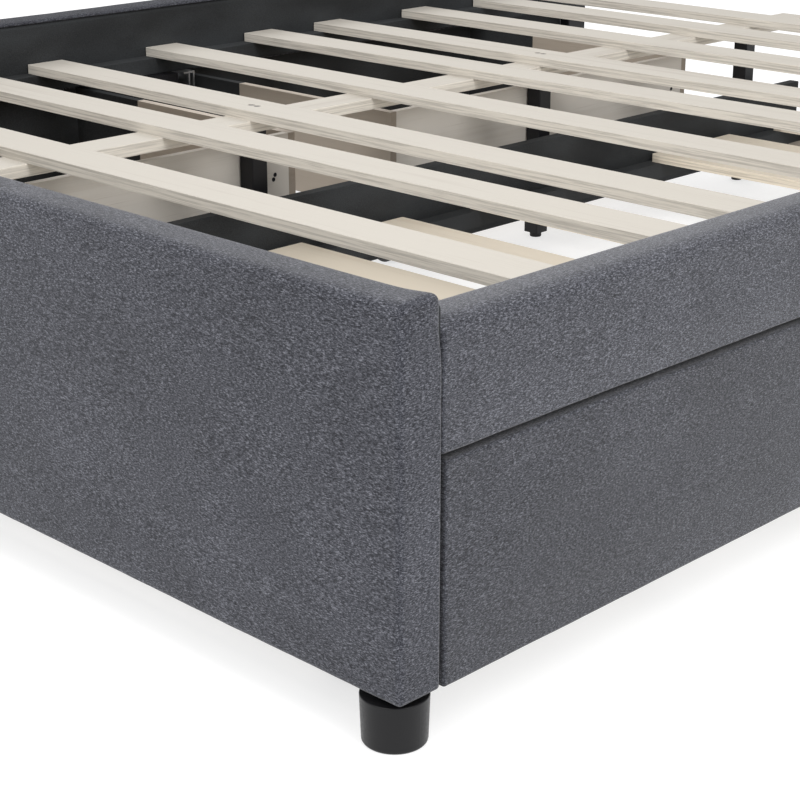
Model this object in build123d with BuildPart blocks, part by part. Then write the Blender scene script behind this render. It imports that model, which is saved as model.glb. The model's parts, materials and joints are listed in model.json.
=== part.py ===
from build123d import *
import os

os.makedirs("parts", exist_ok=True)

# Upholstered platform bed, full size, in millimetres.
# +Y runs to the head end, +X to the side with the pull-out trundle, +Z up.
# The origin is on the floor, in the middle of the bed's footprint.

# Overall frame
INNER_W = 1368.0            # between the side rails: a 54 inch mattress
INNER_L = 1909.0            # from the foot panel to the head end: a 75 inch mattress
PANEL_T = 50.0              # padded rail, cover included
FOOT_T = 46.0               # padded foot panel, cover included
LEG_PROUD = 3.0             # the foot legs stand out past the foot panel's face
COVER_T = 4.0               # padding and fabric over the board
CORE_EASE = 8.0             # rounding of the boards' edges under the padding
LEG_H = 46.5                # floor to the underside of the foot panel
RAIL_BOTTOM = 242.0
RAIL_TOP = 345.0
FOOT_TOP = 365.0
RUN_GAP = 5.0               # gap over the trundle and drawer fronts
END_GAP = 4.0               # gap between a front's end and the foot panel

X_IN = INNER_W / 2
X_OUT = X_IN + PANEL_T
Y_HEAD = (INNER_L + FOOT_T + LEG_PROUD) / 2
Y_FOOT = LEG_PROUD - Y_HEAD
Y_SEAM = Y_FOOT + FOOT_T

# Mattress deck
SLAT_W = 61.0
SLAT_T = 13.0
DECK_TOP = 283.0
LEDGE = 25.0
SLAT_CENTRES = (-808, -621, -420, -279, -59, 149, 293, 501, 680, 836)
SLAT_SKEWS = {2: 0.3, 3: -0.3, 5: 0.8, 8: -0.4}     # degrees that these loose slats lie askew
SCREWED_SLATS = (3, 6)      # these two are screwed to the support beam
SLAT_BOTTOM = DECK_TOP - SLAT_T

# Support beam and its posts, and the low bar between the head posts
BEAM_X = -215.0
BEAM_W = 50.0
BEAM_T = 16.0
BEAM_BOTTOM = SLAT_BOTTOM - BEAM_T
POST = 26.0
POST_YS = (-283, 292, 831)
BAR_W = 25.0
BAR_Z = (50.0, 90.0)
SCREW_SPREAD = 11.0         # between the two screws of a slat
SCREW_R = 2.0
SCREW_HEAD_R = 4.2
SCREW_L = 26.0

# Legs
LEG_R = 28.0
LEG_FOOT_R = 26.5
LEG_STUD_R = 12.0           # stud between the leg's top and the panel
LEG_STUD_H = 4.5
LEG_INSET = 30.0            # leg's centre from the bed's outer side
MID_POST = 48.0
MID_POST_Y = -83.0

# Lower fronts: the trundle's and the drawers'
FRONT_T = 30.0
FRONT_TOP = RAIL_BOTTOM - RUN_GAP
FRONT_END = Y_SEAM + END_GAP
DRAWER_FRONT_W = 825.5
FRONT_SPLIT = 4.0

# Trundle
TRUNDLE_HEAD_Y = 893.0
TRUNDLE_FOOT_Y = -892.0
TRUNDLE_BACK_X = -154.0
TRUNDLE_BOTTOM = 55.0
TRUNDLE_TOP = 169.0
TRUNDLE_DECK = 109.0
BOARD_T = 18.0
TRUNDLE_LEDGE = 24.0
TRUNDLE_SLAT_BACK_X = -147.0
TRUNDLE_SLAT_CENTRES = (-854, -673, -489, -293, -104, 95, 288, 522, 671, 862)

# Drawer boxes
BOX_BACK_X = -230.0
BOX_W = 697.0
BOX_BOTTOM = 94.0
BOX_TOP = 234.0
BOX_T = 12.0
BOX_FLOOR_T = 6.0
CHEEK_D = 150.0             # black cheeks that tie the box to its padded front
BOX_1_Y = (-893.0, -893.0 + BOX_W)
BOX_2_Y = (-13.0, -13.0 + BOX_W)

# Castors
TRUNDLE_WHEEL_R = 22.0
DRAWER_WHEEL_R = 25.0
WHEEL_T = 16.0
AXLE_R = 3.0
AXLE_CLEARANCE = 0.06
FORK_T = 2.0
FORK_GAP = 1.5
PLATE_T = 3.0


def span(low, high):
    """Size of a block and the middle of it, from two opposite corners."""
    size = tuple(h - l for l, h in zip(low, high))
    middle = tuple((l + h) / 2 for l, h in zip(low, high))
    return size, middle


def block(low, high, mode=Mode.ADD):
    """A box from its low corner to its high corner, in the open builder."""
    size, middle = span(low, high)
    with Locations(middle):
        Box(*size, mode=mode)


def save(builder, name):
    builder.part.label = name
    export_step(builder.part, f"parts/{name}.step")


def board(name, low, high, ease=0.0):
    """A plain sawn board with eased long edges."""
    with BuildPart() as piece:
        block(low, high)
        if ease:
            sizes = span(low, high)[0]
            long_axis = (Axis.X, Axis.Y, Axis.Z)[sizes.index(max(sizes))]
            fillet(piece.edges().filter_by(long_axis), ease)
    save(piece, name)


def core_board(piece, low, high, bare_side, lipped=False):
    """A panel's board, in its open builder. All its edges are rounded under the padding, apart from
    those of its bare face. Where the cover laps over the top, the bare face's top edge is rounded too."""
    block(low, high)
    bare = piece.faces().sort_by(bare_side)[-1]
    rounded = piece.edges() - bare.edges()
    if lipped:
        rounded += bare.edges().sort_by(Axis.Z)[-1:]
    fillet(rounded, CORE_EASE)


def inwards(sign):
    """Direction from one long side of the bed towards its middle."""
    return Axis((0, 0, 0), (-sign, 0, 0))


def panel_board(name, low, high, bare_side, lipped=False):
    """A panel's board as a piece of its own."""
    with BuildPart() as piece:
        core_board(piece, low, high, bare_side, lipped)
    save(piece, name)
    return piece.part


def cover(name, outer, core):
    """The padded fabric skin between a panel's outside and its board."""
    with BuildPart() as skin:
        block(*outer)
        add(core, mode=Mode.SUBTRACT)
    save(skin, name)


# --- Foot panel: a board in a padded cover that is open at its back ---

foot_outer = ((-X_OUT, Y_FOOT, LEG_H), (X_OUT, Y_SEAM, FOOT_TOP))
foot_core = ((-X_OUT + COVER_T, Y_FOOT + COVER_T, LEG_H + COVER_T),
             (X_OUT - COVER_T, Y_SEAM, FOOT_TOP - COVER_T))
foot_board = panel_board("foot_panel", *foot_core, bare_side=Axis.Y, lipped=True)
cover("foot_panel_cover", foot_outer, foot_board)

# --- Side rails: boards with a cover outside, over the top and underneath ---

for side, sign in (("near", 1), ("far", -1)):
    inner, shell, outer = sign * X_IN, sign * (X_OUT - COVER_T), sign * X_OUT
    rail_outer = ((min(inner, outer), Y_SEAM, RAIL_BOTTOM), (max(inner, outer), Y_HEAD, RAIL_TOP))
    rail_core = ((min(inner, shell), Y_SEAM, RAIL_BOTTOM + COVER_T),
                 (max(inner, shell), Y_HEAD - COVER_T, RAIL_TOP - COVER_T))
    rail_board = panel_board(f"{side}_rail", *rail_core, bare_side=inwards(sign), lipped=True)
    cover(f"{side}_rail_cover", rail_outer, rail_board)
    ledge_in = sign * (X_IN - LEDGE)
    board(f"{side}_ledge", (min(inner, ledge_in), Y_SEAM, SLAT_BOTTOM - LEDGE),
          (max(inner, ledge_in), Y_HEAD, SLAT_BOTTOM), ease=1.5)

# --- Bar between the head posts, and the long support beam under the slats ---

BAR_Y = Y_HEAD - (PANEL_T - BAR_W) / 2
board("head_bar", (-X_IN, BAR_Y - BAR_W, BAR_Z[0]), (X_IN, BAR_Y, BAR_Z[1]), ease=1.5)

screw_spots = [
    (BEAM_X + dx, SLAT_CENTRES[i])
    for i in SCREWED_SLATS
    for dx in (-SCREW_SPREAD / 2, SCREW_SPREAD / 2)
]

with BuildPart() as support_beam:
    block((BEAM_X - BEAM_W / 2, Y_SEAM, BEAM_BOTTOM), (BEAM_X + BEAM_W / 2, Y_HEAD, SLAT_BOTTOM))
    fillet(support_beam.edges().filter_by(Axis.Y), 1.5)
    with Locations(*[(x, y, SLAT_BOTTOM) for x, y in screw_spots]):
        Hole(SCREW_R + 0.3, depth=SCREW_L - SLAT_T + 1)
save(support_beam, "support_beam")

# --- Slats: eased boards, each one with its long axis across the bed ---

SLAT_END_GAP = 1.0

for i, y in enumerate(SLAT_CENTRES):
    turn = SLAT_SKEWS.get(i, 0.0)
    gap = SLAT_END_GAP + abs(turn)
    with BuildPart() as slat:
        with Locations(Location((0, y, SLAT_BOTTOM + SLAT_T / 2), (0, 0, turn))):
            Box(2 * (X_IN - gap), SLAT_W, SLAT_T)
        corners = slat.edges().filter_by(Axis.Z)
        fillet(corners, 2.0)
        fillet(slat.faces().sort_by(Axis.Z)[-1].edges(), 0.8)
        if i in SCREWED_SLATS:
            spots = [spot for spot in screw_spots if spot[1] == y]
            with Locations(*[(sx, sy, DECK_TOP) for sx, sy in spots]):
                CounterSinkHole(SCREW_R + 0.3, SCREW_HEAD_R + 0.9, depth=SLAT_T)
    save(slat, f"slat_{i}")

with BuildPart() as slat_screws:
    with BuildSketch(Plane.XY.offset(DECK_TOP - SCREW_L)):
        with Locations(*screw_spots):
            Circle(SCREW_R)
    extrude(amount=SCREW_L - 2)
    for x, y in screw_spots:
        with Locations((x, y, DECK_TOP - 1.6)):
            Cone(SCREW_R, SCREW_HEAD_R, 2.2)
save(slat_screws, "slat_screws")

# --- Posts under the beam, each on a small round glide ---

GLIDE_R = 9.0
GLIDE_H = 8.0

for i, y in enumerate(POST_YS, start=1):
    with BuildPart() as post:
        block((BEAM_X - POST / 2, y - POST / 2, GLIDE_H), (BEAM_X + POST / 2, y + POST / 2, BEAM_BOTTOM))
        fillet(post.edges().filter_by(Axis.Z), 2.0)
        with Locations((BEAM_X, y, GLIDE_H / 2)):
            Cylinder(GLIDE_R, GLIDE_H)
        fillet(post.edges().sort_by(Axis.Z)[0], 1.5)
    save(post, f"beam_post_{i}")

# --- Round tapered foot legs, under the ends of the foot panel ---

LEG_Y = Y_FOOT - LEG_PROUD + LEG_R
LEG_TOP = LEG_H - LEG_STUD_H

for side, sign in (("near", 1), ("far", -1)):
    leg_x = sign * (X_OUT - LEG_INSET)
    with BuildPart() as leg:
        with BuildSketch(Plane.XY):
            with Locations((leg_x, LEG_Y)):
                Circle(LEG_FOOT_R)
        with BuildSketch(Plane.XY.offset(LEG_TOP)):
            with Locations((leg_x, LEG_Y)):
                Circle(LEG_R)
        loft()
        fillet(leg.faces().sort_by(Axis.Z)[0].edges(), 3.0)
        fillet(leg.faces().sort_by(Axis.Z)[-1].edges(), 1.0)
        with BuildSketch(Plane.XY.offset(LEG_TOP)):
            with Locations((leg_x, LEG_Y)):
                Circle(LEG_STUD_R)
        extrude(amount=LEG_STUD_H)
    save(leg, f"foot_leg_{side}")

# --- Square posts under the head ends of the rails, and the far rail's mid post ---

for side, sign in (("near", 1), ("far", -1)):
    xs = sorted((sign * X_IN, sign * X_OUT))
    board(f"head_post_{side}", (xs[0], Y_HEAD - PANEL_T, 0), (xs[1], Y_HEAD, RAIL_BOTTOM), ease=3)

LEDGE_BOTTOM = SLAT_BOTTOM - LEDGE
MID_X = (-X_IN + 2, -X_IN + 42)
MID_Y = (MID_POST_Y - MID_POST / 2, MID_POST_Y + MID_POST / 2)
board("mid_post", (MID_X[0], MID_Y[0], 0), (MID_X[1], MID_Y[1], LEDGE_BOTTOM), ease=3)

# --- Steel angle brackets: foot corners, the beam's seat, and the mid post's top ---

ANGLE_T = 3.0
ANGLE_LEG = 40.0
ANGLE_Z = (298.0, 336.0)
BOLT_HEAD_R = 6.0
BOLT_HEAD_H = 3.0
CHANNEL_Y = (10.0, 31.0)    # the channel bracket hangs from the ledge, past the mid post
CHANNEL_LIP = 9.0
CHANNEL_H = 32.0

with BuildPart() as steel_brackets:
    for sign in (1, -1):
        side_xs = sorted((sign * X_IN, sign * (X_IN - ANGLE_T)))
        leg_xs = sorted((sign * X_IN, sign * (X_IN - ANGLE_LEG)))
        block((side_xs[0], Y_SEAM, ANGLE_Z[0]), (side_xs[1], Y_SEAM + ANGLE_LEG, ANGLE_Z[1]))
        block((leg_xs[0], Y_SEAM, ANGLE_Z[0]), (leg_xs[1], Y_SEAM + ANGLE_T, ANGLE_Z[1]))
        bolt_x = sign * (X_IN - ANGLE_T - BOLT_HEAD_H / 2)
        with Locations(Location((bolt_x, Y_SEAM + 24, sum(ANGLE_Z) / 2), (0, 90, 0))):
            Cylinder(BOLT_HEAD_R, BOLT_HEAD_H)
    block((BEAM_X - 20, Y_SEAM, BEAM_BOTTOM - ANGLE_LEG), (BEAM_X + 20, Y_SEAM + ANGLE_T, BEAM_BOTTOM))
    block((BEAM_X - 20, Y_SEAM, BEAM_BOTTOM - ANGLE_T), (BEAM_X + 20, Y_SEAM + ANGLE_LEG, BEAM_BOTTOM))
    channel_low, channel_high = [MID_Y[1] + y for y in CHANNEL_Y]
    block((MID_X[0], channel_low, LEDGE_BOTTOM - ANGLE_T), (MID_X[1], channel_high, LEDGE_BOTTOM))
    for y in (channel_low + CHANNEL_LIP, channel_high - ANGLE_T):
        block((MID_X[0], y, LEDGE_BOTTOM - CHANNEL_H), (MID_X[1], y + ANGLE_T, LEDGE_BOTTOM))
save(steel_brackets, "steel_brackets")


# --- Padded lower fronts ---

def front_blocks(sign, y_low, y_high):
    """Outer block and board block of a padded lower front on one side of the bed."""
    face, back = sign * X_OUT, sign * (X_OUT - FRONT_T)
    skin = sign * (X_OUT - COVER_T)
    outer = ((min(face, back), y_low, LEG_H), (max(face, back), y_high, FRONT_TOP))
    core = ((min(skin, back), y_low + COVER_T, LEG_H + COVER_T),
            (max(skin, back), y_high - COVER_T, FRONT_TOP - COVER_T))
    return outer, core


# --- Fixed panel at the head end of the drawer side ---

FRONT_1_Y = (FRONT_END, FRONT_END + DRAWER_FRONT_W)
FRONT_2_Y = (FRONT_1_Y[1] + FRONT_SPLIT, FRONT_1_Y[1] + FRONT_SPLIT + DRAWER_FRONT_W)

end_outer, end_core = front_blocks(-1, FRONT_2_Y[1] + FRONT_SPLIT, Y_HEAD - PANEL_T)
end_outer = (end_outer[0], (*end_outer[1][:2], RAIL_BOTTOM))
end_core = (end_core[0], (*end_core[1][:2], RAIL_BOTTOM - COVER_T))
end_board = panel_board("end_panel", *end_core, bare_side=Axis.X)
cover("end_panel_cover", end_outer, end_board)


# --- Castors ---

def castor_forks(name, spots, wheel_r, top):
    """Fixed castor forks: a plate, two cheeks and a riveted axle at each spot."""
    inner = WHEEL_T / 2 + FORK_GAP
    half = inner + FORK_T
    with BuildPart() as forks:
        for x, y in spots:
            block((x - 16, y - half - 5, top - PLATE_T), (x + 16, y + half + 5, top))
            for low in (-half, inner):
                with BuildSketch(Plane.XZ.offset(-(y + low))):
                    with BuildLine():
                        Polyline((x - 13, top - PLATE_T), (x + 13, top - PLATE_T),
                                 (x + 7, wheel_r - 5), (x - 7, wheel_r - 5), close=True)
                    make_face()
                extrude(amount=-FORK_T)
            with Locations(Location((x, y, wheel_r), (90, 0, 0))):
                Cylinder(AXLE_R, 2 * half + 2)
    save(forks, name)


def wheel_pair(name, x, ys, wheel_r):
    """Two grooved plastic wheels that share one axis line across the bed's width."""
    with BuildPart() as wheels:
        for y in ys:
            with BuildSketch(Plane.XZ.offset(-(y - WHEEL_T / 2))):
                with Locations((x, wheel_r)):
                    Circle(wheel_r)
                    Circle(AXLE_R + AXLE_CLEARANCE, mode=Mode.SUBTRACT)
            extrude(amount=-WHEEL_T)
        rims = wheels.edges().filter_by(GeomType.CIRCLE).group_by(SortBy.RADIUS)[-1]
        fillet(rims, 2.0)
        for y in ys:
            with BuildSketch(Plane.XZ.offset(-(y - WHEEL_T / 2)), Plane.XZ.offset(-(y + WHEEL_T / 2 - 2.5))):
                with Locations((x, wheel_r)):
                    Circle(wheel_r - 6)
                    Circle(AXLE_R + 4, mode=Mode.SUBTRACT)
            extrude(amount=-2.5, mode=Mode.SUBTRACT)
    save(wheels, name)


# --- Trundle: a low slatted bed behind a padded front, on four castors ---

trundle_outer, trundle_core = front_blocks(1, FRONT_END, Y_HEAD - PANEL_T - END_GAP)
trundle_board = panel_board("trundle_front", *trundle_core, bare_side=inwards(1))
cover("trundle_front_cover", trundle_outer, trundle_board)

FRONT_BACK_X = X_OUT - FRONT_T
board("trundle_back_rail",
      (TRUNDLE_BACK_X - BOARD_T, TRUNDLE_FOOT_Y - BOARD_T, TRUNDLE_BOTTOM),
      (TRUNDLE_BACK_X, TRUNDLE_HEAD_Y + BOARD_T, TRUNDLE_TOP), ease=1.5)
board("trundle_foot_rail", (TRUNDLE_BACK_X, TRUNDLE_FOOT_Y - BOARD_T, TRUNDLE_BOTTOM),
      (FRONT_BACK_X, TRUNDLE_FOOT_Y, TRUNDLE_TOP), ease=1.5)
board("trundle_head_rail", (TRUNDLE_BACK_X, TRUNDLE_HEAD_Y, TRUNDLE_BOTTOM),
      (FRONT_BACK_X, TRUNDLE_HEAD_Y + BOARD_T, TRUNDLE_DECK), ease=1.5)

TRUNDLE_SLAT_BOTTOM = TRUNDLE_DECK - SLAT_T
with BuildPart() as trundle_ledges:
    for x in (TRUNDLE_BACK_X, FRONT_BACK_X - TRUNDLE_LEDGE):
        block((x, TRUNDLE_FOOT_Y, TRUNDLE_SLAT_BOTTOM - TRUNDLE_LEDGE),
              (x + TRUNDLE_LEDGE, TRUNDLE_HEAD_Y, TRUNDLE_SLAT_BOTTOM))
save(trundle_ledges, "trundle_ledges")

with BuildPart() as trundle_slats:
    for y in TRUNDLE_SLAT_CENTRES:
        block((TRUNDLE_SLAT_BACK_X, y - SLAT_W / 2, TRUNDLE_SLAT_BOTTOM),
              (FRONT_BACK_X - 1, y + SLAT_W / 2, TRUNDLE_DECK))
    fillet(trundle_slats.edges().filter_by(Axis.Z), 2.0)
save(trundle_slats, "trundle_slats")

TRUNDLE_CASTOR_XS = (600.0, -110.0)
TRUNDLE_CASTOR_YS = (TRUNDLE_FOOT_Y - BOARD_T / 2, TRUNDLE_HEAD_Y + BOARD_T / 2)
castor_forks("trundle_castors", [(x, y) for x in TRUNDLE_CASTOR_XS for y in TRUNDLE_CASTOR_YS],
             TRUNDLE_WHEEL_R, TRUNDLE_BOTTOM)
for end, x in zip(("front", "back"), TRUNDLE_CASTOR_XS):
    wheel_pair(f"trundle_wheels_{end}", x, TRUNDLE_CASTOR_YS, TRUNDLE_WHEEL_R)

# --- Two drawers on the far side, each an open wooden box on four castors ---

BOX_FRONT_X = -FRONT_BACK_X
CHEEK_X = BOX_FRONT_X + CHEEK_D
BOX_FLOOR_BOTTOM = BOX_BOTTOM - BOX_FLOOR_T
DRAWER_CASTOR_XS = (-640.0, -280.0)
CASTOR_INSET = 40.0

drawers = (("drawer_1", FRONT_1_Y, BOX_1_Y), ("drawer_2", FRONT_2_Y, BOX_2_Y))

for name, front_y, box_y in drawers:
    outer, core = front_blocks(-1, *front_y)
    y_low, y_high = box_y
    with BuildPart() as front:
        core_board(front, *core, bare_side=Axis.X)
        padded = front.part
        for y in (y_low, y_high - BOX_T):
            block((BOX_FRONT_X, y, BOX_BOTTOM), (CHEEK_X, y + BOX_T, BOX_TOP))
    save(front, f"{name}_front")
    cover(f"{name}_front_cover", outer, padded)
    with BuildPart() as sides:
        for y in (y_low, y_high - BOX_T):
            block((CHEEK_X, y, BOX_BOTTOM), (BOX_BACK_X, y + BOX_T, BOX_TOP))
    save(sides, f"{name}_sides")
    board(f"{name}_back", (BOX_BACK_X - BOX_T, y_low + BOX_T, BOX_BOTTOM),
          (BOX_BACK_X, y_high - BOX_T, BOX_TOP), ease=1.0)
    board(f"{name}_bottom", (BOX_FRONT_X, y_low, BOX_FLOOR_BOTTOM), (BOX_BACK_X, y_high, BOX_BOTTOM))
    castor_ys = (y_low + CASTOR_INSET, y_high - CASTOR_INSET)
    castor_forks(f"{name}_castors", [(x, y) for x in DRAWER_CASTOR_XS for y in castor_ys],
                 DRAWER_WHEEL_R, BOX_FLOOR_BOTTOM)
    for end, x in zip(("front", "back"), DRAWER_CASTOR_XS):
        wheel_pair(f"{name}_wheels_{end}", x, castor_ys, DRAWER_WHEEL_R)
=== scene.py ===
import json
import math

import bmesh
import bpy
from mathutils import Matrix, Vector, noise


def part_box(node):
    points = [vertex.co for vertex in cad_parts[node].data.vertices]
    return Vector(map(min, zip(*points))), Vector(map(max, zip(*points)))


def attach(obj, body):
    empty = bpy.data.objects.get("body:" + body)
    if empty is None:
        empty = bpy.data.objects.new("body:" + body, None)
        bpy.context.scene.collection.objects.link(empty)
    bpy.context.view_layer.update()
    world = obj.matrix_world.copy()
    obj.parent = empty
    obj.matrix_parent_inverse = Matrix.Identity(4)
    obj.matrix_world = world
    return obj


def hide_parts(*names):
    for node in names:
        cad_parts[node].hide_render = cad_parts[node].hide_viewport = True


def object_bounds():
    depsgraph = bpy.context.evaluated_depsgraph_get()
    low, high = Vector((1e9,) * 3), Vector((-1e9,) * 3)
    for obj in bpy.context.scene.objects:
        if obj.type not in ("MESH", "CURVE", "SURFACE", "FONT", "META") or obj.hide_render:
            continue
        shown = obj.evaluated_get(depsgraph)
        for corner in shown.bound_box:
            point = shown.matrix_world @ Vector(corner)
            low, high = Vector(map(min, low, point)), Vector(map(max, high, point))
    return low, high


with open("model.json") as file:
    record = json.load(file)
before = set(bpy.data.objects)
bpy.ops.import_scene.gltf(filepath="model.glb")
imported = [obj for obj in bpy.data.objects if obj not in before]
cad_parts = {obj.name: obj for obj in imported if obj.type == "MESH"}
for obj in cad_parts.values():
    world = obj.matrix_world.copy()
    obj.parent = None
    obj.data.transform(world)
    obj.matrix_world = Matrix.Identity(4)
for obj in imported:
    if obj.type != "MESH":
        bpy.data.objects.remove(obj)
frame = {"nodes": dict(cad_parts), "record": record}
cad_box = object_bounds()

NODES = frame["nodes"]
MM = 0.001
X, Y, Z = range(3)


# --- Node helpers -----------------------------------------------------------

def new_material(name, colour, roughness):
    """A Principled material, its node tree and its shader."""
    mat = bpy.data.materials.new(name)
    mat.use_nodes = True
    shader = mat.node_tree.nodes["Principled BSDF"]
    shader.inputs["Base Color"].default_value = (*colour, 1)
    shader.inputs["Roughness"].default_value = roughness
    return mat, mat.node_tree, shader


def add(tree, kind, inputs=None, **settings):
    """Adds a node, sets its properties, and sets or links its inputs."""
    node = tree.nodes.new(kind)
    for key, value in settings.items():
        setattr(node, key, value)
    for key, value in (inputs or {}).items():
        if isinstance(value, bpy.types.NodeSocket):
            tree.links.new(value, node.inputs[key])
        else:
            node.inputs[key].default_value = value
    return node


def stretched(tree, scale):
    """Object coordinates in metres, scaled per axis."""
    place = add(tree, "ShaderNodeTexCoord")
    return add(tree, "ShaderNodeMapping", {"Vector": place.outputs["Object"], "Scale": scale}).outputs[0]


def noise_of(tree, scale, detail=2.0, rough=0.5, distortion=0.0):
    """Fractal noise, from 0 to 1, with its grain stretched per axis."""
    inputs = {"Vector": stretched(tree, scale), "Scale": 1.0, "Detail": detail, "Roughness": rough,
              "Distortion": distortion}
    return add(tree, "ShaderNodeTexNoise", inputs).outputs[0]


def ramp(tree, value, stops):
    """A colour ramp through (position, colour) stops."""
    node = add(tree, "ShaderNodeValToRGB", {"Fac": value})
    while len(node.color_ramp.elements) < len(stops):
        node.color_ramp.elements.new(0.5)
    for element, (at, colour) in zip(node.color_ramp.elements, stops):
        element.position = at
        element.color = (*colour, 1)
    return node.outputs[0]


def remap(tree, value, low, high, to_low, to_high):
    return add(tree, "ShaderNodeMapRange", {"Value": value, "From Min": low, "From Max": high,
                                            "To Min": to_low, "To Max": to_high}).outputs[0]


def maths(tree, operation, a, b=0.0):
    return add(tree, "ShaderNodeMath", {0: a, 1: b}, operation=operation).outputs[0]


def mixed(tree, factor, a, b, blend="MIX"):
    node = add(tree, "ShaderNodeMix", data_type="RGBA", blend_type=blend)
    for socket, value in ((node.inputs[0], factor), (node.inputs[6], a), (node.inputs[7], b)):
        if isinstance(value, bpy.types.NodeSocket):
            tree.links.new(value, socket)
        else:
            socket.default_value = value if not isinstance(value, tuple) else (*value[:3], 1)
    return node.outputs[2]


def bump(tree, shader, height, distance, strength=1.0):
    node = add(tree, "ShaderNodeBump", {"Height": height, "Distance": distance, "Strength": strength})
    tree.links.new(node.outputs[0], shader.inputs["Normal"])


def face_axis(tree, axis):
    """1 on faces that look along the given axis, 0 elsewhere."""
    normal = add(tree, "ShaderNodeTexCoord").outputs["Normal"]
    parts = add(tree, "ShaderNodeSeparateXYZ", {0: normal})
    return remap(tree, maths(tree, "ABSOLUTE", parts.outputs[axis]), 0.6, 0.8, 0, 1)


# --- Materials --------------------------------------------------------------

YARN_ACROSS = 880.0         # yarn noise per metre across the slubs
YARN_ALONG = 300.0          # and along them
MOTTLE = 0.14               # share that the cloth's shade drifts up and down


def heathered_fabric(name, along, tone, sheen=0.36):
    """Blue-grey woven cloth of mottled yarn. Its slubs run along the piece, and across its end faces."""
    mat, tree, shader = new_material(name, (0.06, 0.065, 0.078), 0.93)
    end_run = X if along == Y else Y
    at_end = face_axis(tree, along)

    def slubs(factor, detail, rough):
        """Yarn noise stretched one way on the long faces and the other way on the end faces."""
        both = []
        for run in (along, end_run):
            scale = tuple(factor * (YARN_ALONG if i == run else YARN_ACROSS) for i in range(3))
            both.append(noise_of(tree, scale, detail, rough))
        return add(tree, "ShaderNodeMix", {0: at_end, 2: both[0], 3: both[1]}, data_type="FLOAT").outputs[0]

    yarn = slubs(1.0, 2.0, 0.75)
    speck = slubs(1.8, 1.0, 0.5)
    cloud = noise_of(tree, (7.0, 7.0, 7.0), detail=3.0, rough=0.65)
    both = maths(tree, "ADD", maths(tree, "MULTIPLY", yarn, 0.66), maths(tree, "MULTIPLY", speck, 0.34))
    colour = ramp(tree, both, [(0.36, (0.013, 0.014, 0.019)), (0.46, (0.046, 0.048, 0.060)),
                               (0.54, (0.098, 0.101, 0.120)), (0.66, (0.262, 0.268, 0.308))])
    # The tone scales the whole cloth; set per panel, it carries painted light and shade
    shade = remap(tree, cloud, 0.3, 0.7, (1 - MOTTLE) * tone, (1 + MOTTLE) * tone)
    tint = add(tree, "ShaderNodeCombineColor", {0: shade, 1: shade, 2: shade}).outputs[0]
    tree.links.new(mixed(tree, 1.0, colour, tint, "MULTIPLY"), shader.inputs["Base Color"])
    shader.inputs["Sheen Weight"].default_value = sheen
    shader.inputs["Sheen Roughness"].default_value = 0.45
    shader.inputs["Specular IOR Level"].default_value = 0.15
    bump(tree, shader, both, 0.0009, 0.8)
    return mat


LIT_EDGE_GAIN = 1.34           # painted light: the thin faces are made this much paler than the face, to stand in for the light that falls on them


def raw_wood(name, pale, mid, dark, thin_face, layers, layer):
    """Pale unfinished plywood: long grain along X or Y on the faces, faint stacked plies on the thin
    faces, which look along the axis thin_face and whose plies are stacked along the axis layers."""
    mat, tree, shader = new_material(name, mid, 0.62)
    along = 3 - thin_face - layers

    def grain_of(run, across, detail, rough, distortion=0.0):
        scale = tuple(run if i == along else across for i in range(3))
        return noise_of(tree, scale, detail, rough, distortion)

    grain = grain_of(2.4, 110.0, 4.0, 0.6, 0.5)
    broad = grain_of(1.3, 12.0, 2.0, 0.5)
    fibre = grain_of(7.0, 520.0, 2.0, 0.6)
    mottle = maths(tree, "ADD", maths(tree, "MULTIPLY", grain, 0.5), maths(tree, "MULTIPLY", broad, 0.5))
    face = ramp(tree, mottle, [(0.30, mid), (0.46, pale), (0.60, pale), (0.74, mid)])
    face = mixed(tree, remap(tree, fibre, 0.64, 0.76, 0.0, 0.3), face, dark)
    place = add(tree, "ShaderNodeTexCoord").outputs["Object"]
    depth = add(tree, "ShaderNodeSeparateXYZ", {0: place}).outputs[layers]
    ragged = maths(tree, "ADD", maths(tree, "DIVIDE", depth, layer), maths(tree, "MULTIPLY", broad, 3.0))
    plies = maths(tree, "PINGPONG", ragged, 1.0)
    torn = grain_of(8.0, 420.0, 4.0, 0.7)
    # Painted light: the thin faces' colour is raised above the face's pale tone, so that they look as lit
    # as the tops
    lit_edge = tuple(LIT_EDGE_GAIN * c for c in pale)
    sawn = maths(tree, "ADD", maths(tree, "MULTIPLY", plies, 0.07), maths(tree, "MULTIPLY", torn, 0.93))
    edge = ramp(tree, sawn, [(0.26, mid), (0.42, pale), (0.54, lit_edge), (0.80, lit_edge)])
    crack = grain_of(4.0, 620.0, 3.0, 0.8)
    edge = mixed(tree, remap(tree, crack, 0.63, 0.72, 0.0, 0.6), edge, dark)
    colour = mixed(tree, face_axis(tree, thin_face), face, edge)
    # End faces are darker: partly the darker end grain, partly painted shade like that seen on the drawer
    # sides' ends
    colour = mixed(tree, maths(tree, "MULTIPLY", face_axis(tree, along), 0.45), colour, dark)
    tree.links.new(colour, shader.inputs["Base Color"])
    shader.inputs["Specular IOR Level"].default_value = 0.3
    bump(tree, shader, maths(tree, "ADD", grain, fibre), 0.0004, 0.5)
    return mat


def backing_cloth(name):
    """Near-black non-woven lining stapled over the boards' inner faces."""
    mat, tree, shader = new_material(name, (0.030, 0.034, 0.040), 0.85)
    fibre = noise_of(tree, (700.0, 700.0, 700.0), 2.0)
    cloud = noise_of(tree, (5.0, 5.0, 12.0), 3.0)
    felt = maths(tree, "ADD", maths(tree, "MULTIPLY", fibre, 0.4), maths(tree, "MULTIPLY", cloud, 0.6))
    tree.links.new(ramp(tree, felt, [(0.40, (0.007, 0.008, 0.009)), (0.60, (0.027, 0.030, 0.033))]),
                   shader.inputs["Base Color"])
    bump(tree, shader, fibre, 0.0004, 0.6)
    return mat


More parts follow.
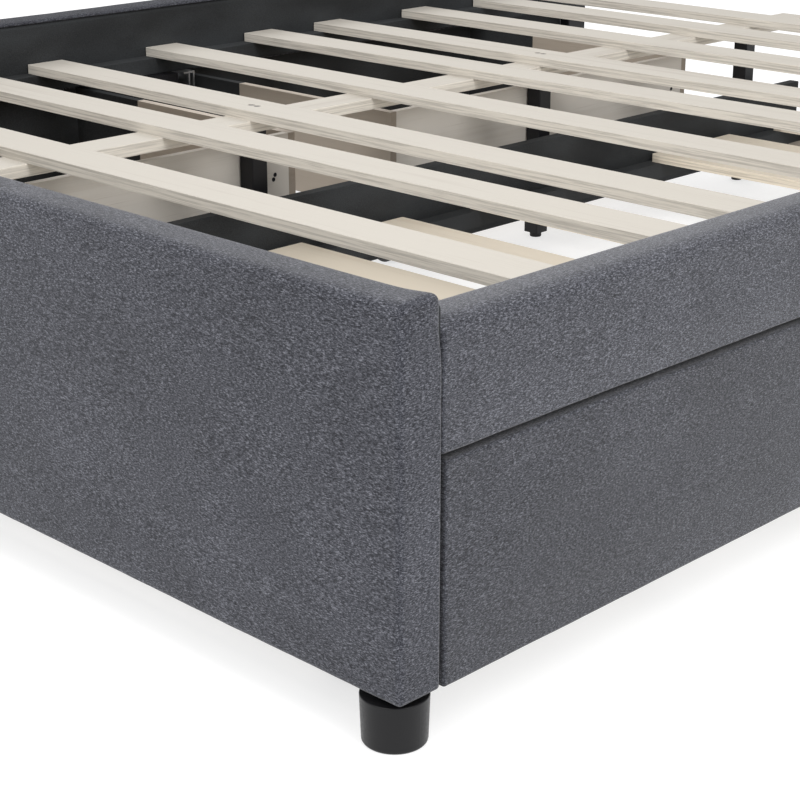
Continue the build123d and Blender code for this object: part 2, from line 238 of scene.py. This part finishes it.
def satin_black(name, colour, roughness):
    mat, tree, shader = new_material(name, colour, roughness)
    peel = noise_of(tree, (420.0, 420.0, 420.0), 1.0)
    uneven = remap(tree, peel, 0.3, 0.7, roughness - 0.06, roughness + 0.06)
    tree.links.new(uneven, shader.inputs["Roughness"])
    shader.inputs["Specular IOR Level"].default_value = 0.27
    bump(tree, shader, peel, 0.0001, 0.3)
    return mat


def zinc_steel(name):
    mat, tree, shader = new_material(name, (0.62, 0.63, 0.64), 0.35)
    shader.inputs["Metallic"].default_value = 1.0
    spangle = noise_of(tree, (160.0, 160.0, 160.0), 2.0)
    tree.links.new(remap(tree, spangle, 0.3, 0.7, 0.28, 0.48), shader.inputs["Roughness"])
    bump(tree, shader, spangle, 0.0001, 0.2)
    return mat


# Raw wood: pale, middle and dark tone
SLAT_TONES = ((0.518, 0.484, 0.430), (0.442, 0.402, 0.352), (0.24, 0.185, 0.14))
# The boards' own plywood colour, darkened a little as painted shade for the boards that sit in the slats'
# shade
SHADED_BOARD_TONES = ((0.44, 0.385, 0.325), (0.38, 0.325, 0.27), (0.20, 0.155, 0.115))
# Painted light: the drawer backs get a much paler copy of the same plywood, standing in for the light that
# falls on them through the slats
LIT_BACK_TONES = ((0.66, 0.62, 0.565), (0.58, 0.53, 0.47), (0.28, 0.22, 0.17))
LOWER_TONES = ((0.67, 0.60, 0.495), (0.60, 0.52, 0.415), (0.28, 0.215, 0.155))
MATERIALS = {
    "slat_wood": raw_wood("slat_wood", *SLAT_TONES, thin_face=Y, layers=Z, layer=2.6 * MM),
    "board_wood": raw_wood("board_wood", *SHADED_BOARD_TONES, thin_face=Z, layers=Y, layer=2.4 * MM),
    "black_board": backing_cloth("backing_cloth"),
    "black_metal": satin_black("black_metal", (0.010, 0.010, 0.012), 0.42),
    "leg_plastic": satin_black("leg_plastic", (0.008, 0.008, 0.009), 0.36),
    "bracket_steel": zinc_steel("bracket_steel"),
    "wheel_plastic": satin_black("wheel_plastic", (0.05, 0.05, 0.053), 0.5),
}
LIT_CROSS_BOARD = raw_wood("board_wood_cross_painted_light", *LIT_BACK_TONES, thin_face=Z, layers=X, layer=2.4 * MM)
BEAM_WOOD = raw_wood("beam_wood", *SLAT_TONES, thin_face=X, layers=Z, layer=3.0 * MM)
LOWER_WOOD = raw_wood("trundle_slat_wood", *LOWER_TONES, thin_face=Y, layers=Z, layer=2.6 * MM)
SPECIAL = {
    "drawer_1_back": LIT_CROSS_BOARD,
    "drawer_2_back": LIT_CROSS_BOARD,
    "support_beam": BEAM_WOOD,
    "trundle_slats": LOWER_WOOD,
}
# The cloth of the foot panel, the near rail, the far rail and the lower fronts: lit and shaded copies of
# one cloth, whose tone and sheen are set per panel to stand in for the light each gets
FABRIC = {
    "end": heathered_fabric("cover_fabric_end", X, 0.745, sheen=0.24),
    "rail": heathered_fabric("cover_fabric_rail", Y, 0.785),
    # Painted shade: the far rail's cloth is darker and has almost no sheen
    "far": heathered_fabric("cover_fabric_far_shaded", Y, 0.55, sheen=0.06),
    # Painted shade: the lower fronts' cloth is darker
    "front": heathered_fabric("cover_fabric_front_shaded", Y, 0.61),
}


def dress(node, mat):
    mesh = NODES[node].data
    mesh.materials.clear()
    mesh.materials.append(mat)


for part in frame["record"]["subparts"]:
    node, slot = part["node"], part["material_slot"]
    if slot != "cover_fabric":
        dress(node, SPECIAL.get(node) or MATERIALS[slot])


# --- Padded fabric covers -----------------------------------------------------

EDGE_ROUND = 0.005          # rounding of the foot panel's edges, apart from its lapped top
SLIM_ROUND = 0.0025         # rounding of the rails' and the lower fronts' edges
BUTT_ROUND = 0.0015         # rounding where a rail's end and the foot panel's back meet
FOOT_SHORT = 0.0015         # the foot panel's cloth ends this far before the panel's back
BUTT_GAP = 0.0010           # open seam between it and a rail's cloth
FRONT_REACH = 0.0010        # the padding takes up this much of a lower front's end gap
FRONT_DROP = 0.0012         # and is pulled down this much along its top
LIP_PROUD = 0.0014          # the lapped cloth stands this far out from a rail's bare face
CLOTH_T = 0.0024
PRESSURE = 1.2              # of the padding against the cloth
SWELL_CAP = 0.0026          # the most that the padding may swell a point
SIM_FRAMES = 14
LONG_WAVE = 0.0008          # depth of the cloth's long waves
SMALL_WAVE = 0.0003         # and of its small ones

# Grid of a panel's cloth
ROUNDED_BAND = 0.016        # grid lines are dense this far in from each side of a panel
CELL = 0.013
FINE_CELL = 0.004
FINE_BAND = 0.028           # width of the fine cells next to the dense ones

# Folded corners of the foot panel
EAR_RISE = 0.0028           # height of the cloth's fullness at each end of the top
EAR_REACH = 0.024           # how far it reaches along the top
EAR_DEPTH = 0.040           # how far it reaches from the panel's back
CREASE_SLOPE = 0.2          # the crease on the end face drops this much per length away from the back
POCKET = 0.0022             # depth of the pocket under the crease


def grid_steps(low, high, cell, fine=0.0):
    """Grid lines from low to high: dense in the rounded ends, fine next to them, then even."""
    rounded = [ROUNDED_BAND * t for t in (0.0, 0.06, 0.14, 0.24, 0.36, 0.52, 0.74, 1.0)]
    near = rounded + [ROUNDED_BAND + FINE_CELL * (i + 1) for i in range(int(fine / FINE_CELL))]
    middle_low, middle_high = low + near[-1], high - near[-1]
    if middle_high <= middle_low:
        return [low + d for d in rounded[:-1]] + [high - d for d in reversed(rounded[:-1])]
    count = max(1, round((middle_high - middle_low) / cell))
    middle = [middle_low + (middle_high - middle_low) * i / count for i in range(1, count)]
    return [low + d for d in near] + middle + [high - d for d in reversed(near)]


def blend_step(value, low, high):
    t = min(1.0, max(0.0, (value - low) / (high - low)))
    return t * t * (3 - 2 * t)


def side_rounds(panel, back, top_round):
    """Rounding at the low and at the high side of each axis."""
    axis, sign = back
    edge = EDGE_ROUND if panel == "foot_panel" else SLIM_ROUND
    rounds = [[edge, edge] for _ in range(3)]
    rounds[axis][sign > 0] = 0.0
    rounds[Z][1] = top_round
    if panel.endswith("rail"):
        rounds[Y][0] = BUTT_ROUND
    elif panel == "foot_panel":
        rounds[Y][1] = BUTT_ROUND
    return rounds


def rounded_point(p, low, high, rounds, back_axis, lap):
    """Moves a point of the box's surface onto the rounded, padded form. The bare back stays square
    except along the top, where the cloth laps over it."""
    near_top = blend_step(p.z, high.z - 0.05, high.z - 0.025) if lap else 0.0
    core, reach = Vector(p), Vector((0, 0, 0))
    for i in range(3):
        radii = rounds[i]
        if i == back_axis:
            radii = [r + (rounds[Z][1] - r) * near_top for r in radii]
        if p[i] < low[i] + radii[0]:
            core[i], reach[i] = low[i] + radii[0], radii[0]
        elif p[i] > high[i] - radii[1]:
            core[i], reach[i] = high[i] - radii[1], radii[1]
    steps = Vector([(p[i] - core[i]) / reach[i] if reach[i] else 0.0 for i in range(3)])
    longest = max(abs(c) for c in steps)
    if longest < 1e-6:
        return p
    steps = steps.normalized() * longest
    return Vector([core[i] + steps[i] * reach[i] for i in range(3)])


def panel_shell(panel, low, high):
    """An open grid shell round a panel: every side but its bare back, lapped over the top."""
    _, (axis, sign), top_round, lap, _ = PANELS[panel]
    name = f"{panel}_fabric"
    rounds = side_rounds(panel, (axis, sign), top_round)
    steps = [grid_steps(low[i], high[i], CELL, FINE_BAND if i != axis else 0.0) for i in range(3)]
    mesh = bmesh.new()
    made = {}

    def corner(index):
        if index not in made:
            p = Vector([steps[i][index[i]] for i in range(3)])
            made[index] = mesh.verts.new(rounded_point(p, low, high, rounds, axis, lap))
        return made[index]

    for fixed in range(3):
        u, v = [i for i in range(3) if i != fixed]
        for end in (0, len(steps[fixed]) - 1):
            outward = 1 if end else -1
            bare = fixed == axis and outward == sign
            for a in range(len(steps[u]) - 1):
                for b in range(len(steps[v]) - 1):
                    if bare and not (lap and steps[Z][b] > high.z - lap):
                        continue
                    ring = []
                    for da, db in ((0, 0), (1, 0), (1, 1), (0, 1)):
                        index = [0, 0, 0]
                        index[fixed], index[u], index[v] = end, a + da, b + db
                        ring.append(corner(tuple(index)))
                    mesh.faces.new(ring)
    bmesh.ops.recalc_face_normals(mesh, faces=mesh.faces)
    data = bpy.data.meshes.new(name)
    mesh.to_mesh(data)
    mesh.free()
    piece = bpy.data.objects.new(name, data)
    bpy.context.scene.collection.objects.link(piece)
    return piece


def smooth_noise(p, scale, seed):
    return noise.noise(Vector(p) * scale + Vector((seed, 2.3 * seed, -seed)))


def outward_of(piece):
    """Vertex normals, turned to point away from the panel's middle."""
    data = piece.data
    middle = sum((v.co for v in data.vertices), Vector()) / len(data.vertices)
    normals = [v.normal.copy() for v in data.vertices]
    balance = sum((v.co - middle).dot(n) for v, n in zip(data.vertices, normals))
    return normals if balance > 0 else [-n for n in normals]


def swell(piece):
    """Cloth simulation: the padding lifts the taut cloth between its pulled-down edges."""
    data = piece.data
    rest = [v.co.copy() for v in data.vertices]
    uses = {}
    for face in data.polygons:
        for key in face.edge_keys:
            uses[key] = uses.get(key, 0) + 1
    border = {v for key, count in uses.items() if count == 1 for v in key}
    low, high = [Vector([f(c[i] for c in rest) for i in range(3)]) for f in (min, max)]
    held = piece.vertex_groups.new(name="held")
    for v in data.vertices:
        near_sides = sum(min(v.co[i] - low[i], high[i] - v.co[i]) < EDGE_ROUND for i in range(3))
        if near_sides >= 2 or v.index in border:
            held.add([v.index], 1.0, "REPLACE")
    cloth = piece.modifiers.new("cloth", "CLOTH")
    cloth.settings.quality = 4
    cloth.settings.mass = 0.35
    cloth.settings.tension_stiffness = 25
    cloth.settings.compression_stiffness = 25
    cloth.settings.shear_stiffness = 12
    cloth.settings.bending_stiffness = 1.5
    cloth.settings.use_pressure = True
    cloth.settings.uniform_pressure_force = PRESSURE
    cloth.settings.vertex_group_mass = "held"
    cloth.settings.effector_weights.gravity = 0
    cloth.collision_settings.use_collision = False
    cloth.point_cache.frame_start, cloth.point_cache.frame_end = 1, SIM_FRAMES
    scene = bpy.context.scene
    for step in range(1, SIM_FRAMES + 1):
        scene.frame_set(step)
    solved = piece.evaluated_get(bpy.context.evaluated_depsgraph_get())
    lifts = [v.co - start for v, start in zip(solved.to_mesh().vertices, rest)]
    solved.to_mesh_clear()
    piece.modifiers.remove(cloth)
    most = max(lift.length for lift in lifts)
    scale = min(1.0, SWELL_CAP / most)
    for v, start, lift in zip(data.vertices, rest, lifts):
        v.co = start + lift * scale
    scene.frame_set(1)


def pull_and_pucker(piece, seed, along, back, low, high):
    """Slight unevenness of hand-stapled cloth: long shallow waves. The stapled back edge lies flat."""
    axis, sign = back
    bare = high[axis] if sign > 0 else low[axis]
    stretch = Vector([5.0 if i == along else 22.0 for i in range(3)])
    for v, n in zip(piece.data.vertices, outward_of(piece)):
        loose = blend_step(abs(v.co[axis] - bare), 0.002, 0.02)
        long_wave = smooth_noise(v.co * stretch, 1.0, seed) * LONG_WAVE
        small_wave = smooth_noise(v.co, 38.0, seed + 7) * SMALL_WAVE
        v.co += n * (long_wave + small_wave) * loose


def dog_ear(piece, low, high):
    """Folded corners of the foot panel: the cloth's fullness stands up at each end of the top, and a
    crease with a shallow pocket under it runs down the end face, from the back to the front edge."""
    for v in piece.data.vertices:
        for corner_x, inward in ((low.x, 1), (high.x, -1)):
            from_end = (v.co.x - corner_x) * inward
            if from_end > 0.09:
                continue
            drop = high.z - v.co.z
            to_seam = max(high.y - v.co.y, 0)
            below = drop - 0.002 - CREASE_SLOPE * to_seam
            rise = math.exp(-(from_end / EAR_REACH) ** 2) * math.exp(-(to_seam / EAR_DEPTH) ** 2)
            v.co.z += EAR_RISE * rise * (1 - blend_step(drop, 0.004, 0.05))
            on_side = 1 - blend_step(from_end, 0.003, 0.012)
            sunk = blend_step(below, 0.0, 0.003) * (1 - blend_step(below, 0.004, 0.016))
            v.co.x += inward * POCKET * on_side * sunk * blend_step(to_seam, 0.006, 0.040)


def finish_cover(piece, node, body, cloth):
    data = piece.data
    data.shade_smooth()
    shell = piece.modifiers.new("thickness", "SOLIDIFY")
    shell.thickness = CLOTH_T
    shell.offset = -1
    shell.use_even_offset = True
    solid = bpy.data.meshes.new_from_object(piece.evaluated_get(bpy.context.evaluated_depsgraph_get()))
    piece.modifiers.clear()
    piece.data = solid
    solid.materials.clear()
    solid.materials.append(FABRIC[cloth])
    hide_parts(node)
    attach(piece, body)


# Each panel's body, bare side, rounding over the top, lap of the cloth down the bare side, and cloth
PANELS = {
    "foot_panel": ("frame", (Y, 1), 0.010, 0.008, "end"),
    "near_rail": ("frame", (X, -1), 0.016, 0.008, "rail"),
    "far_rail": ("frame", (X, 1), 0.008, 0.0045, "far"),
    "end_panel": ("frame", (X, 1), SLIM_ROUND, 0.0, "front"),
    "trundle_front": ("trundle", (X, -1), SLIM_ROUND, 0.0, "front"),
    "drawer_1_front": ("drawer_1", (X, 1), SLIM_ROUND, 0.0, "front"),
    "drawer_2_front": ("drawer_2", (X, 1), SLIM_ROUND, 0.0, "front"),
}


def make_cover(seed, panel):
    """Builds a panel's padded cloth: its shell, its swelling, its unevenness and its thickness."""
    body, (axis, sign), _, _, cloth = PANELS[panel]
    node = f"{panel}_cover"
    low, high = [Vector(c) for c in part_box(node)]
    if panel == "near_rail":
        low.x -= LIP_PROUD
    elif panel == "far_rail":
        high.x += LIP_PROUD
    if panel == "foot_panel":
        high.y -= FOOT_SHORT
    elif panel.endswith("rail"):
        low.y -= FOOT_SHORT - BUTT_GAP
    elif panel.endswith("front"):
        low.y -= FRONT_REACH
        high.z -= FRONT_DROP
    along = X if panel == "foot_panel" else Y
    piece = panel_shell(panel, low, high)
    swell(piece)
    pull_and_pucker(piece, seed, along, (axis, sign), low, high)
    if panel == "foot_panel":
        dog_ear(piece, low, high)
    finish_cover(piece, node, body, cloth)


for seed, panel in enumerate(PANELS):
    make_cover(seed, panel)


# --- Screw heads on the drawer boxes -------------------------------------------

# Radius and rise along a screw head's turned profile, in mm, from the rim of its socket outwards
SCREW_PROFILE = ((0.9, 0.15), (1.2, 0.6), (2.2, 0.7), (3.0, 0.2), (3.0, -0.6))
SCREW_SIDES = 18
SCREW_IN = 0.038            # a pair's distance from the outside of the side board
SCREW_STEP = Vector((0, 0.0014, 0.0030))        # from the middle of a pair to its upper screw
SCREW_RISE = 0.014          # height of a pair above the middle of the board


def screw_head(name, body, at, facing):
    """A dark screw head let into a board: a turned profile with a socket in its middle."""
    mesh = bmesh.new()
    rings = []
    for radius, rise in SCREW_PROFILE:
        turns = [math.tau * i / SCREW_SIDES for i in range(SCREW_SIDES)]
        points = [Vector((radius * math.cos(t), radius * math.sin(t), rise)) * MM for t in turns]
        rings.append([mesh.verts.new(p) for p in points])
    mesh.faces.new(rings[0])
    mesh.faces.new(reversed(rings[-1]))
    for inner, outer in zip(rings, rings[1:]):
        for i in range(SCREW_SIDES):
            j = (i + 1) % SCREW_SIDES
            mesh.faces.new((inner[i], outer[i], outer[j], inner[j]))
    bmesh.ops.recalc_face_normals(mesh, faces=mesh.faces)
    data = bpy.data.meshes.new(name)
    mesh.to_mesh(data)
    mesh.free()
    data.materials.append(MATERIALS["black_metal"])
    head = bpy.data.objects.new(name, data)
    head.location = at
    head.rotation_euler = Vector(facing).to_track_quat("Z", "Y").to_euler()
    bpy.context.scene.collection.objects.link(head)
    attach(head, body)


for body in ("drawer_1", "drawer_2"):
    low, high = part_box(f"{body}_sides")
    for end, y in (("foot", low.y + SCREW_IN), ("head", high.y - SCREW_IN)):
        middle = Vector((high.x, y, (low.z + high.z) / 2 + SCREW_RISE))
        screw_head(f"{body}_back_screw_{end}_lower", body, middle - SCREW_STEP, (1, 0, 0))
        screw_head(f"{body}_back_screw_{end}_upper", body, middle + SCREW_STEP, (1, 0, 0))


# --- Stage, light and camera --------------------------------------------------

def stage():
    bpy.ops.mesh.primitive_plane_add(size=12.0, location=(0, 0, 0))
    floor = bpy.context.object
    floor.name = "studio_floor"
    mat, _, shader = new_material("studio_floor", (0.4, 0.4, 0.4), 0.9)
    shader.inputs["Emission Color"].default_value = (1, 1, 1, 1)
    shader.inputs["Emission Strength"].default_value = 0.68
    floor.data.materials.append(mat)


def area_light(name, at, aim, size, power):
    lamp = bpy.data.lights.new(name, "AREA")
    lamp.shape = "DISK"
    lamp.size = size
    lamp.energy = power
    holder = bpy.data.objects.new(name, lamp)
    holder.location = at
    holder.rotation_euler = (Vector(aim) - Vector(at)).to_track_quat("-Z", "Y").to_euler()
    bpy.context.scene.collection.objects.link(holder)


def light():
    world = bpy.data.worlds.new("studio")
    world.use_nodes = True
    world.node_tree.nodes["Background"].inputs[0].default_value = (1, 1, 1, 1)
    world.node_tree.nodes["Background"].inputs[1].default_value = 0.75
    bpy.context.scene.world = world
    area_light("key", (1.6, -1.3, 3.6), (0, -0.2, 0.2), 2.5, 40)
    area_light("side", (2.8, -0.9, 2.6), (0.3, -0.6, 0.2), 1.8, 38)
    area_light("foot", (0.6, -3.4, 2.9), (0, -0.2, 0.2), 1.8, 42)
    area_light("back", (-2.6, 1.8, 2.6), (0, 0, 0.2), 2.0, 26)


AZIMUTH, ELEVATION = math.radians(44.47), math.radians(19.91)
FROM_SEAM = Vector((0.8752, -0.9372, 0.7027))   # from the foot of the near corner's seam to the camera


def camera():
    """The camera looks down at the near foot corner with a long lens."""
    seam = Vector((cad_box[1][0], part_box("near_rail_cover")[0].y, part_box("foot_panel_cover")[0].z))
    lens = bpy.data.cameras.new("camera")
    lens.lens = 84.03
    lens.sensor_width = 36.0
    holder = bpy.data.objects.new("camera", lens)
    holder.location = seam + FROM_SEAM
    holder.rotation_euler = (math.radians(90) - ELEVATION, 0, AZIMUTH)
    bpy.context.scene.collection.objects.link(holder)
    bpy.context.scene.camera = holder


stage()
light()
camera()
bpy.context.scene.view_settings.view_transform = "Standard"
